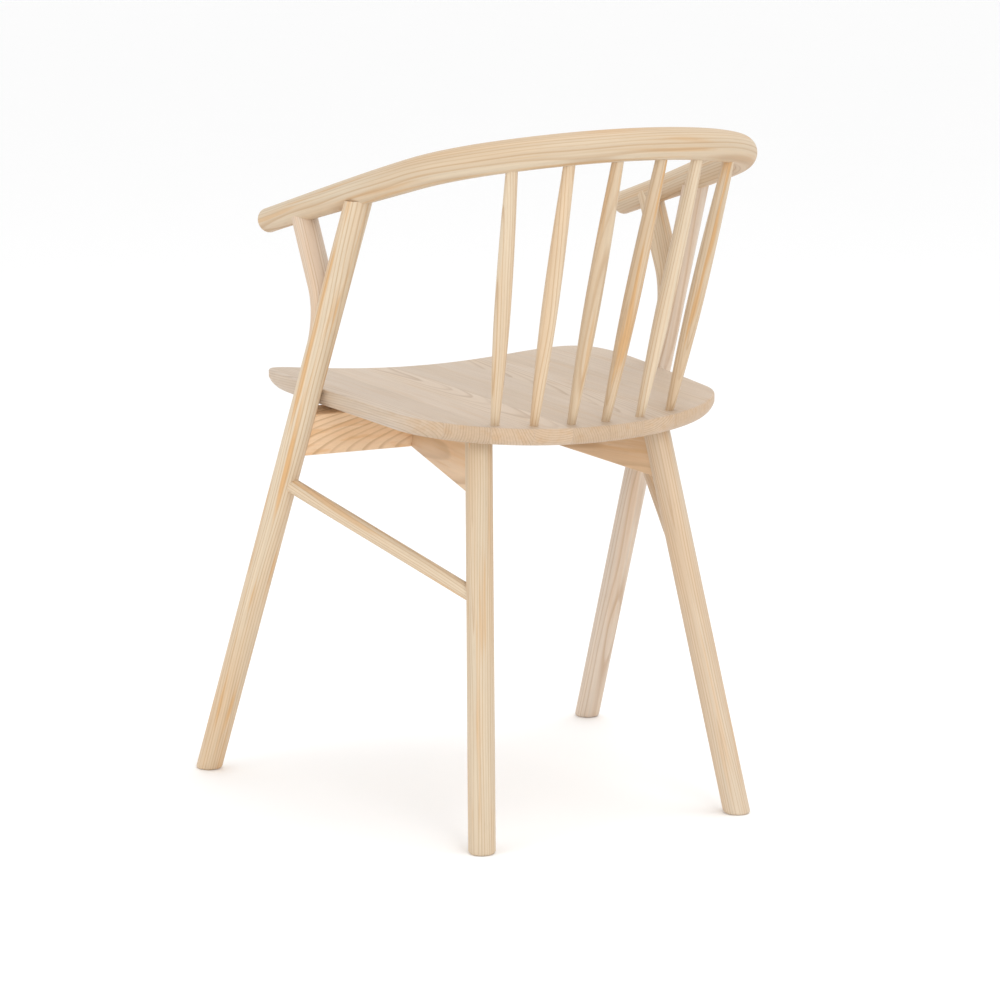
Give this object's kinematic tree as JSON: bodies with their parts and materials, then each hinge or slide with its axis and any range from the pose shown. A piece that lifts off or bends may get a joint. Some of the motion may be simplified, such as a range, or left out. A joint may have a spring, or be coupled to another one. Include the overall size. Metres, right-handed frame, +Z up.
{
  "type": "armchair",
  "caption": "Spindle-back wooden armchair with one bent bow as arms and crest rail, forked front legs, raked rear legs and a dished solid seat.",
  "frame": {"origin": "on the floor, under the middle of the chair's bounding box", "axes": "+Z up from the floor, -Y the way the sitter faces, +X the sitter's left, so the back bow is on the +Y side"},
  "size_m": [0.5484, 0.56, 0.7672],
  "materials": {
    "ash_frame": "clear matt lacquer on pale ash",
    "ash_seat": "clear matt lacquer on pale ash",
    "dowel": "plain fluted beech, glued",
    "screw": "zinc plated"
  },
  "bodies": {
    "root": {"bow_arm_and_crest_rail": "ash_frame", "spindle_left_1": "ash_frame", "spindle_left_2": "ash_frame", "spindle_left_3": "ash_frame", "spindle_right_1": "ash_frame", "spindle_right_2": "ash_frame", "spindle_right_3": "ash_frame", "front_leg_left": "ash_frame", "front_leg_right": "ash_frame", "arm_fork_left": "ash_frame", "arm_fork_right": "ash_frame", "arm_fork_dowel_left": "dowel", "arm_fork_dowel_right": "dowel", "rear_leg_left": "ash_frame", "rear_leg_right": "ash_frame", "front_rail": "ash_frame", "side_rail_left": "ash_frame", "side_rail_right": "ash_frame", "rail_dowel_left_1": "dowel", "rail_dowel_left_2": "dowel", "rail_dowel_right_1": "dowel", "rail_dowel_right_2": "dowel", "stretcher_left": "ash_frame", "stretcher_right": "ash_frame", "seat_stave_1": "ash_seat", "seat_stave_2": "ash_seat", "seat_stave_3": "ash_seat", "seat_stave_4": "ash_seat", "seat_stave_5": "ash_seat", "seat_stave_6": "ash_seat", "seat_stave_7": "ash_seat", "seat_stave_8": "ash_seat", "seat_stave_9": "ash_seat", "seat_stave_10": "ash_seat", "seat_screw_left_1": "screw", "seat_screw_left_2": "screw", "seat_screw_right_1": "screw", "seat_screw_right_2": "screw", "seat_screw_front_left": "screw", "seat_screw_front_right": "screw"}
  },
  "joints": []
}
